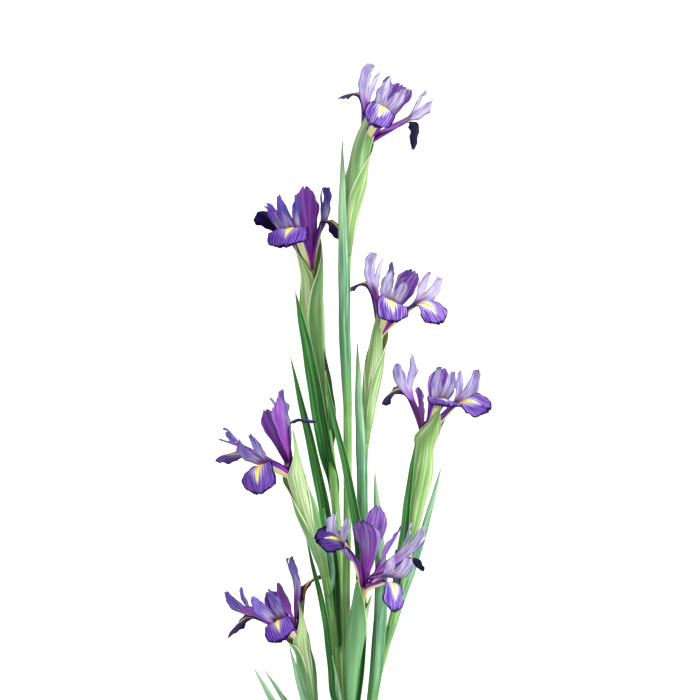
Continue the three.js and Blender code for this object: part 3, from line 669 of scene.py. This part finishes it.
# THE FALLS
# Each bloom has three outer petals. A narrow channelled haft runs up and out, and turns over into a
# round drooping blade with a yellow signal on a pale ground, dark veins and a nearly black rim.
PETAL_THICKNESS = 0.55
FALL_LENGTH = 68.6
FALL_ROOT = (2.4, -1)
FALL_ROUNDING = 0.1
FALL_GRID = (64, 33)
# Some falls carry a darkening entry: partly a deeper tone of their own, partly painted shade on falls that
# lie in shadow.
FALLS = [
    [{"bearing": 17, "splay": 31, "droop": 152, "turned": 45},
     {"bearing": -90, "splay": 32, "droop": 146, "wide": 0.88, "arm": 43},
     {"bearing": 140, "splay": 36, "droop": 122, "wide": 0.8, "twist": 30, "shade_and_deep_tone": 1.2}],
    [{"bearing": -120, "splay": 24, "droop": 130, "wide": 1.3},
     {"bearing": -18, "splay": 21, "droop": 150, "shade_and_deep_tone": 0.4},
     {"bearing": 146, "splay": 30, "droop": 50, "wide": 1.2, "shade_and_deep_tone": 1}],
    [{"bearing": 142, "splay": 39, "droop": 128, "twist": 25, "shade_and_deep_tone": 1.2},
     {"bearing": -96, "splay": 41, "droop": 138, "wide": 0.92, "sway": 26, "arm": 49},
     {"bearing": -20, "splay": 29, "droop": 118, "wide": 0.85, "twist": -40, "turned": 40}],
    [{"bearing": 152, "splay": 33, "droop": 134, "twist": 25, "turned": 30, "shade_and_deep_tone": 0.65},
     {"bearing": -74, "splay": 34, "droop": 98},
     {"bearing": -18, "splay": 35, "droop": 102, "wide": 1.05, "twist": -30, "turned": 40}],
    [{"bearing": 20, "splay": 20, "droop": 120, "shade_and_deep_tone": 0.4},
     {"bearing": -119, "splay": 50, "droop": 150, "wide": 1.1, "sway": -12},
     {"bearing": 162, "splay": 36, "droop": 76, "turned": -35}],
    [{"bearing": -160, "splay": 34, "droop": 100, "wide": 0.9, "twist": 32, "arm": 46, "turned": -40,
      "shade_and_deep_tone": 1},
     {"bearing": -62, "splay": 64, "droop": 150, "wide": 0.85, "twist": 18},
     {"bearing": 34, "splay": 44, "droop": 120, "sway": 30}],
    [{"bearing": 22, "splay": 37, "droop": 96, "arm": 31, "shade_and_deep_tone": 0.7},
     {"bearing": -98, "splay": 48, "droop": 128, "wide": 0.9, "shade_and_deep_tone": 0.15},
     {"bearing": -177, "splay": 31, "droop": 105, "turned": -40, "shade_and_deep_tone": 0.5}],
]
BLOOM_TONES = (0.9, 0.0, 0.8, 0.25, 0.15, 0.7, 0.1)
fall_half_width = through(
    (0, 2.2), (0.2, 5), (0.44, 6), (0.57, 7), (0.67, 12), (0.79, 14.3), (0.9, 13.4), (1, 8.5)
)
fall_curl = through((0, -1.1), (0.35, -1), (0.52, -0.7), (0.64, -0.1), (0.78, 0.3), (1, 0.5))
on_the_blade = through((0, 0), (0.5, 0), (0.66, 1), (1, 1))
sideways_share = through((0, 0), (0.45, 0), (0.75, 1), (1, 1.1))


def petal(flower, bearing, root, length, turn, half_width, curl, wave, sway=0, twist=0):
    """The surface of a petal that grows from root, at a radius and a height, and turns away from the
    flower's axis. curl bends its sides down, sway leans it sideways and twist rolls it over."""
    radius_out, height = root
    out = flower.out(bearing)
    side = np.cross(flower.up, out)
    start = flower.base + out * radius_out + flower.up * height

    def directions(u):
        share = sideways_share(u)
        angle, lean, roll = (np.radians(a)[..., None] for a in (turn(u), sway * share, twist * share))
        forward = out * np.sin(angle) + flower.up * np.cos(angle)
        down = out * np.cos(angle) - flower.up * np.sin(angle)
        level = side * np.cos(lean) - forward * np.sin(lean)
        ahead = forward * np.cos(lean) + side * np.sin(lean)
        return ahead, level * np.cos(roll) + down * np.sin(roll), down * np.cos(roll) - level * np.sin(roll)

    steps = 240
    ahead = directions((np.arange(steps) + 0.5) / steps)[0]
    spine = np.vstack([start, start + np.cumsum(ahead * length / steps, axis=0)])
    places = np.linspace(0, 1, steps + 1)

    def surface(u, v):
        _, across, under = directions(u)
        bend = curl(u)
        bend = np.where(np.abs(bend) < 1e-3, 1e-3, bend)
        radius = half_width(u) / bend
        lift = radius * (1 - np.cos(v * bend)) + wave(u, v)
        centre = np.stack([np.interp(u, places, spine[:, k]) for k in range(3)], -1)
        return centre + across * (radius * np.sin(v * bend))[..., None] + under * lift[..., None]

    return surface


def fall(flower, seed, tone, bearing, splay, droop, wide=1, sway=0, twist=0, shade_and_deep_tone=0, **_):
    """A fall whose haft opens from the axis by splay degrees, and whose blade ends at droop degrees."""
    turn = through(
        (0, splay - 10), (0.3, splay), (0.56, splay + 4), (0.66, (splay + droop) / 2), (0.77, droop - 5),
        (1, droop + 8)
    )

    def wave(u, v):
        blade = on_the_blade(u)
        frill = 1.0 * np.abs(v) ** 4 * blade * np.sin(23 * u + 3 * seed + np.sign(v))
        ruffle = 0.5 * np.abs(v) ** 6 * blade * np.sin(57 * u + 7 * seed + 2 * np.sign(v))
        ridge = -0.8 * np.exp(-((v / 0.12) ** 2)) * np.exp(-(((u - 0.58) / 0.14) ** 2))
        rolled = 1.6 * np.clip((u - 0.93) / 0.07, 0, 1) ** 2
        return 0.8 * v * v * np.sin(9 * u + 2 * v) + frill + ruffle + ridge + rolled

    def half_width(u):
        return fall_half_width(u) * (1 + (wide - 1) * on_the_blade(u))

    surface = petal(
        flower, bearing, FALL_ROOT, FALL_LENGTH, turn, half_width, fall_curl, wave, sway, twist
    )
    v, u = grid(*FALL_GRID)
    notch = 0.016 * np.exp(-((v / 0.14) ** 2)) + 0.008 * np.abs(v) ** 3 * np.sin(15 * v + seed)
    notch += 0.004 * np.sin(29 * v + 2 * seed)
    outline = (1 - notch * u**6) * (1 - FALL_ROUNDING * v * v * u**3)
    return sheet(surface(u * outline, v), v, u, PETAL_THICKNESS, tone - shade_and_deep_tone)


def veined(finish, across, close, wander, scale, thin):
    """Lines that run up a petal, close radians of them across each half, and wander a little."""
    wobble = finish.share(wander, finish.noise(scale, 3))
    lines = finish.reckon("SINE", finish.reckon("ADD", finish.share(close, across), wobble))
    return finish.reckon("POWER", finish.size(lines), thin)


fall_skin = Finish("fall_skin")
across, along, side, tone = spots(fall_skin)
beside = fall_skin.size(across)
mottle = fall_skin.noise(260, 4)
uneven = fall_skin.noise(120, 3)
veins = fall_skin.both(veined(fall_skin, across, 20, 3.0, 150, 4), fall_skin.step(uneven, 0.2, 0.5))
violet = fall_skin.mix(fall_skin.streaks(across, along, 7, 3), tint("#6c48a4"), tint("#a98fd2"))
# Low-toned falls go deeper violet, and falls darkened below their bloom's tone turn nearly black navy: partly
# their own deep colour, partly painted shade.
violet = fall_skin.brush(violet, "#47198c", fall_skin.step(tone, 0.4, 0.0), 0.75)
vein_colour = fall_skin.mix(fall_skin.step(tone, 0.3, 0.0), tint("#3a1a80"), tint("#9a72d0"))
violet = fall_skin.mix(fall_skin.share(0.75, veins), violet, vein_colour)
violet = fall_skin.brush(violet, "#12063c", fall_skin.step(tone, 0.0, -0.5), 0.9)
# The signal narrows from the throat to its point, and its edge is a little ragged.
mottle = fall_skin.reckon("SUBTRACT", mottle, 0.5)
below_throat = fall_skin.share(0.95, fall_skin.reckon("SUBTRACT", along, 0.55))
tapering = fall_skin.reckon("SUBTRACT", 0.3, below_throat)
ragged = fall_skin.reckon("ADD", beside, fall_skin.share(0.16, mottle))
within = fall_skin.step(fall_skin.reckon("SUBTRACT", ragged, tapering), 0.05, -0.03)
signal = fall_skin.both(within, fall_skin.step(along, 0.47, 0.53))
# The pale ground lies round the signal in an oval, and the veins feather its edge.
drawn_out = fall_skin.share(3.6, fall_skin.reckon("SUBTRACT", along, 0.6))
drawn_out = fall_skin.reckon("POWER", fall_skin.size(drawn_out), 2)
oval = fall_skin.reckon("ADD", fall_skin.share(1.5, beside), drawn_out)
feathered = fall_skin.reckon("ADD", oval, fall_skin.share(0.5, veins))
ground = fall_skin.share(0.95, fall_skin.step(feathered, 1.35, 0.5))
ground = fall_skin.both(ground, fall_skin.reckon("ADD", 0.45, fall_skin.share(0.8, tone)))
upper = fall_skin.mix(ground, violet, tint("#eeeafc"))
yellow = fall_skin.mix(fall_skin.step(along, 0.6, 0.78), tint("#ffb416"), tint("#ffef7d"))
upper = fall_skin.mix(signal, upper, yellow)
uneven_edge = fall_skin.share(0.12, mottle)
side_rim = fall_skin.step(fall_skin.reckon("ADD", beside, uneven_edge), 0.86, 0.96)
end_rim = fall_skin.step(fall_skin.reckon("ADD", along, uneven_edge), 0.945, 0.985)
rim = fall_skin.reckon("MAXIMUM", side_rim, end_rim)
rim = fall_skin.both(rim, fall_skin.step(along, 0.5, 0.62))
upper = fall_skin.brush(upper, "#0c0330", rim, 0.92)
# The haft is cream with greenish stripes along its middle, and plum at its sides.
stripes = fall_skin.share(0.6, fall_skin.streaks(across, along, 16, 1))
striped = fall_skin.mix(stripes, tint("#e2dfae"), tint("#bcc480"))
haft = fall_skin.mix(fall_skin.step(beside, 0.3, 0.75), striped, tint("#9a45ac"))
upper = fall_skin.mix(fall_skin.step(along, 0.5, 0.42), upper, haft)
plum = fall_skin.mix(fall_skin.step(along, 0.12, 0.42), tint("#96379c"), tint("#7434a4"))
lower = fall_skin.mix(fall_skin.step(beside, 0.42, 0.62), striped, plum)
lower = fall_skin.mix(fall_skin.step(along, 0.08, 0.0), lower, striped)
under = fall_skin.mix(fall_skin.share(0.6, veins), tint("#0d0430"), tint("#3a2080"))
lower = fall_skin.mix(fall_skin.step(along, 0.46, 0.58), lower, under)
petal_colour = fall_skin.mix(side, lower, upper)
fall_skin.coat(Base_Color=petal_colour, Roughness=0.6, Normal=fall_skin.bump(veins, 0.2, 0.7))
fall_skin.coat(Specular_IOR_Level=0.07)
let_light_through(fall_skin, petal_colour, 0.12)
for number, (flower, plans, tone) in enumerate(zip(flowers, FALLS, BLOOM_TONES), 1):
    petals = [fall(flower, number + k, tone, **plan) for k, plan in enumerate(plans)]
    points, faces, marks = gathered(petals)
    dress(f"iris_{number}_falls", points, faces, fall_skin, f"iris_{number}_bloom", marks)


# THE STANDARDS
# Three inner petals stand upright between the falls. They are thinner, folded along the midrib, wavy
# at the margin and orchid violet, with a deep plum foot and a pale edge, partly painted highlight.
STANDARD_LENGTH = 60
STANDARD_ROOT = (2.6, 0)
STANDARD_GRID = (52, 31)
STANDARDS = [
    [{"bearing": -38}, {"bearing": 85}, {"bearing": -152, "lean": 8}],
    [{"bearing": -72, "lean": 10, "long": 1.2}, {"bearing": 52},
     {"bearing": -178, "lean": 24, "flare": 22, "wide": 0.6, "long": 1.1}],
    [{"bearing": -52}, {"bearing": 66}, {"bearing": -160}],
    [{"bearing": -150, "lean": 17, "wide": 0.7, "long": 0.72}, {"bearing": -52, "wide": 0.6},
     {"bearing": 62}],
    [{"bearing": -42, "lean": 22, "flare": 2, "wide": 0.8, "long": 1.2},
     {"bearing": 74, "lean": 18, "wide": 0.8},
     {"bearing": -166, "lean": 36, "flare": 6, "wide": 0.7, "long": 1.15}],
    [{"bearing": -122, "lean": 19, "wide": 1.4, "sway": -18}, {"bearing": -10, "lean": 16},
     {"bearing": 110, "long": 1.12}],
    [{"bearing": -30, "lean": 9, "wide": 0.7, "long": 0.85},
     {"bearing": 100, "lean": 22, "wide": 0.8, "long": 0.8}, {"bearing": -138, "lean": 38}],
]
standard_half_width = through((0, 1.3), (0.3, 3.2), (0.55, 6.8), (0.75, 9.6), (0.9, 8.8), (1, 4.2))
standard_curl = through((0, -0.9), (0.5, -0.75), (0.8, -0.55), (1, 0.1))


def standard(flower, seed, tone, bearing, lean=12, flare=-6, wide=1, sway=0, long=1):
    """A standard that leans from the axis by lean degrees, and by flare more at its tip."""

    def wave(u, v):
        frill = 1.3 * np.abs(v) ** 3 * u * np.sin(15 * u + 5 * seed + 1.7 * v)
        ruffle = 0.6 * np.abs(v) ** 4 * u**2 * np.sin(41 * u + 3 * seed + 2 * np.sign(v))
        fold = -0.9 * np.exp(-((v / 0.16) ** 2)) * u
        return 0.9 * v * v * np.sin(9 * u + 2 * v) + frill + ruffle + fold

    def half_width(u):
        return wide * standard_half_width(u)

    turn = through((0, 10), (0.5, lean), (1, lean + flare))
    surface = petal(
        flower, bearing, STANDARD_ROOT, STANDARD_LENGTH * long, turn, half_width, standard_curl, wave, sway
    )
    v, u = grid(*STANDARD_GRID)
    notch = 0.04 * np.exp(-((v / 0.16) ** 2)) + 0.014 * np.abs(v) ** 2 * np.sin(13 * v + 2 * seed)
    notch += 0.012 * np.sin(27 * v + seed)
    outline = (1 - notch * u**6) * (1 - 0.16 * np.abs(v) ** 3 * u**4)
    return sheet(surface(u * outline, v), v, u, PETAL_THICKNESS, tone)


standard_skin = Finish("standard_skin")
across, along, _, tone = spots(standard_skin)
beside = standard_skin.size(across)
veins = veined(standard_skin, across, 17, 2.4, 150, 5)
orchid = standard_skin.mix(standard_skin.streaks(across, along, 4, 2), tint("#8a58b4"), tint("#bca2da"))
orchid = standard_skin.brush(orchid, "#ae54bc", standard_skin.step(along, 0.72, 0.36), 0.8)
orchid = standard_skin.brush(orchid, "#5a2796", veins, 0.55)
orchid = standard_skin.brush(orchid, "#4f1672", standard_skin.step(along, 0.36, 0.08))
orchid = standard_skin.brush(orchid, "#a055bc", standard_skin.step(tone, 0.35, 0.0), 0.7)
orchid = standard_skin.brush(orchid, "#5f2190", standard_skin.step(beside, 0.14, 0.0), 0.5)
# Paler margins: partly the petal's own pale edge, partly painted highlight.
pale_edge_and_highlight = standard_skin.both(standard_skin.step(beside, 0.8, 1.0), standard_skin.step(along, 0.2, 0.5))
orchid = standard_skin.brush(orchid, "#cdb9ea", pale_edge_and_highlight, 0.55)
patches = standard_skin.step(standard_skin.noise(90), 0.45, 0.6)
tip = standard_skin.both(standard_skin.step(along, 0.955, 1.0), patches)
orchid = standard_skin.brush(orchid, "#22104f", tip, 0.8)
standard_skin.coat(Base_Color=orchid, Roughness=0.55, Normal=standard_skin.bump(veins, 0.2, 0.7))
standard_skin.coat(Specular_IOR_Level=0.12)
let_light_through(standard_skin, orchid, 0.3)
for number, (flower, plans, tone) in enumerate(zip(flowers, STANDARDS, BLOOM_TONES), 1):
    petals = [standard(flower, number + k, tone, **plan) for k, plan in enumerate(plans)]
    points, faces, marks = gathered(petals)
    dress(f"iris_{number}_standards", points, faces, standard_skin, f"iris_{number}_bloom", marks)


# THE STYLES
# Three petal-like style arms share a short column, and one arches over each fall. Each arm has a
# magenta midrib and forks at its end into two pale, ruffled crests that stand up and draw to a point.
STYLE_LENGTH = 59.4
STYLE_ROOT = (1.2, TUBE_ABOVE + 3)
STYLE_GRID = (58, 65)
COLUMN_RADIUS = 2.2
COLUMN_HEIGHT = 7
COLUMN_SIDES = 16
COLUMN_ROWS = 6
style_half_width = through((0, 1.5), (0.2, 3.6), (0.42, 5.8), (0.6, 8.2), (0.8, 12.2), (1, 13))
style_fork = through((0, 0.33), (0.16, 0.18), (0.5, 0), (0.76, 0.07), (1, 0.24))


def style_arm(flower, seed, tone, bearing, splay, arm=None, turned=0, **_):
    """The style arm over a fall, from the fall's own plan. arm is the angle at which it stands out, and
    turned rolls its crests over."""
    arm = splay + 1 if arm is None else arm
    rolled = -8 + 62 * max(0, math.sin(1.9 * seed + 0.6)) ** 2
    turn = through((0, arm), (0.45, arm + 2), (0.6, arm - 5), (0.78, arm / 3), (0.9, rolled / 3), (1, rolled))
    hood = through((0, 0.8), (0.5, 0.75), (0.75, 0.6), (1, 0.7 + 0.4 * math.sin(2.7 * seed)))

    def half_width(u):
        return style_half_width(u) * (1 + 0.03 * np.sin(37 * u + 2 * seed) * np.clip(3 * u - 1.4, 0, 1))

    def wave(u, v):
        crest = np.clip((u - 0.55) / 0.45, 0, 1)
        lobe = np.sign(v)
        out = np.abs(v)
        frill = 2.1 * crest**2 * np.sin(11 * v + 4 * seed) * out
        outer_edge = 1.5 * crest * out**3 * np.sin(33 * u + 3 * seed + 2 * lobe)
        inner_edge = 1.3 * crest**2 * (1 - out) ** 3 * np.sin(27 * u + 5 * seed + 1.5 * lobe) * np.tanh(6 * v)
        fold = -1.3 * crest * np.exp(-(((out - 0.5) / 0.2) ** 2))
        parted = crest**2 * np.tanh(4 * v) * 2.4 * math.sin(2.1 * seed)
        flared = 1.7 * np.clip((u - 0.8) / 0.2, 0, 1) ** 2 * (1 + 0.9 * lobe * math.sin(3.3 * seed))
        return 0.8 * v * v * np.sin(9 * u + 2 * v) + frill + outer_edge + inner_edge + fold + parted + flared

    surface = petal(flower, bearing, STYLE_ROOT, STYLE_LENGTH, turn, half_width, hood, wave, 0, turned)
    v, u = grid(*STYLE_GRID)
    out = np.abs(v)
    teeth = 0.016 * np.sin(17 * v + seed) + 0.012 * np.sin(31 * v + 2 * seed) + 0.008 * np.sin(61 * v)
    uneven = 0.06 * v * math.sin(1.7 * seed)
    ends = np.maximum(style_fork(out) + teeth * np.clip(4 * out, 0, 1) + uneven, 0)
    return sheet(surface(u * (1 - ends * u), v), v, u, PETAL_THICKNESS, tone)


style_skin = Finish("style_skin")
across, along, _, tone = spots(style_skin)
beside = style_skin.size(across)
veins = veined(style_skin, across, 19, 2.6, 140, 6)
lilac = style_skin.mix(style_skin.streaks(across, along, 5, 3), tint("#b3a8d0"), tint("#ece9f4"))
lilac = style_skin.brush(lilac, "#8a68c6", veins, 0.5)
deep_tips = style_skin.both(style_skin.step(tone, 0.4, 0.0), style_skin.step(along, 0.6, 0.85))
lilac = style_skin.brush(lilac, "#5b3fb0", deep_tips, 0.85)
arm_colour = style_skin.mix(style_skin.step(beside, 0.15, 0.9), tint("#b85cc2"), tint("#ac84d2"))
lilac = style_skin.mix(style_skin.step(along, 0.68, 0.42), lilac, arm_colour)
lilac = style_skin.brush(lilac, "#933a9c", style_skin.step(along, 0.24, 0.04))
rib = style_skin.both(style_skin.step(beside, 0.14, 0.02), style_skin.step(along, 0.8, 0.5))
lilac = style_skin.brush(lilac, "#7d3aa8", rib, 0.6)
edge = style_skin.both(style_skin.step(beside, 0.92, 0.97), style_skin.step(along, 0.1, 0.4))
lilac = style_skin.brush(lilac, "#53389f", edge, 0.75)
tip = style_skin.both(style_skin.step(along, 0.94, 1.0), style_skin.step(style_skin.noise(80), 0.48, 0.62))
lilac = style_skin.brush(lilac, "#2c1a66", tip, 0.8)
style_skin.coat(Base_Color=lilac, Roughness=0.55, Normal=style_skin.bump(veins, 0.18, 0.7))
style_skin.coat(Specular_IOR_Level=0.15)
let_light_through(style_skin, lilac, 0.34)
for number, (flower, plans, tone) in enumerate(zip(flowers, FALLS, BLOOM_TONES), 1):
    foot = flower.base_at + TUBE_ABOVE
    distances = np.linspace(foot, foot + COLUMN_HEIGHT, COLUMN_ROWS)
    radii = np.full(COLUMN_ROWS, COLUMN_RADIUS)
    column = rod(flower.axis, distances, radii, COLUMN_SIDES, flower.right)
    arms = [style_arm(flower, number + k, tone, **plan) for k, plan in enumerate(plans)]
    points, faces, marks = gathered([column, *arms])
    dress(f"iris_{number}_style_arms", points, faces, style_skin, f"iris_{number}_styles", marks)


# THE ROOM
# A seamless round white backdrop, pale as paper, far enough out to be walked round. A large soft
# light stands to the right in front of the bunch and a weaker one behind it to the left, and the
# white room fills in their shadows.
ROOM_RADIUS = 7.0
ROOM_COVE = 2.5
ROOM_HEIGHT = 3.0
ROOM_SIDES = 96
COVE_ROWS = 24
WALL_GLOW = 0.4
ROOM_LIGHT = 0.36
paper = Finish("backdrop_paper")
paper.coat(Base_Color=paper.mix(paper.noise(3), tint("#c9c9c8"), tint("#cdcdcc")), Roughness=0.9)
paper.coat(Emission_Color=(1, 1, 1, 1), Emission_Strength=WALL_GLOW)
cove = [
    (ROOM_RADIUS - ROOM_COVE * (1 - math.sin(a)), ROOM_COVE * (1 - math.cos(a)))
    for a in np.linspace(0, math.pi / 2, COVE_ROWS)
]
outline = [(0.001, 0), *cove, (ROOM_RADIUS, ROOM_HEIGHT)]
angles = np.linspace(0, 2 * math.pi, ROOM_SIDES, endpoint=False)
points = np.array([(r * math.cos(a), r * math.sin(a), z) for r, z in outline for a in angles])
faces = []
for ring in range(len(outline) - 1):
    for k in range(ROOM_SIDES):
        n = (k + 1) % ROOM_SIDES
        low, high = ring * ROOM_SIDES, (ring + 1) * ROOM_SIDES
        faces.append((low + k, low + n, high + n, high + k))
backdrop = form("backdrop", points, faces, paper)
backdrop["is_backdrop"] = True

WINDOWS = [("window", 3.3, 14, 50, 50), ("far_window", 1.1, 60, 62, 215)]
for name, strength, softness, slope, bearing in WINDOWS:
    light = bpy.data.lights.new(name, "SUN")
    light.energy = strength
    light.angle = math.radians(softness)
    lamp = bpy.data.objects.new(name, light)
    lamp.rotation_euler = (math.radians(slope), 0, math.radians(bearing))
    bpy.context.scene.collection.objects.link(lamp)

world = bpy.data.worlds.new("white_room")
world.use_nodes = True
sky = world.node_tree.nodes["Background"].inputs
sky["Color"].default_value = (1, 1, 1, 1)
sky["Strength"].default_value = ROOM_LIGHT
bpy.context.scene.world = world
bpy.context.scene.view_settings.view_transform = "Standard"
bpy.context.scene.view_settings.look = "Medium High Contrast"

low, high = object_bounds()
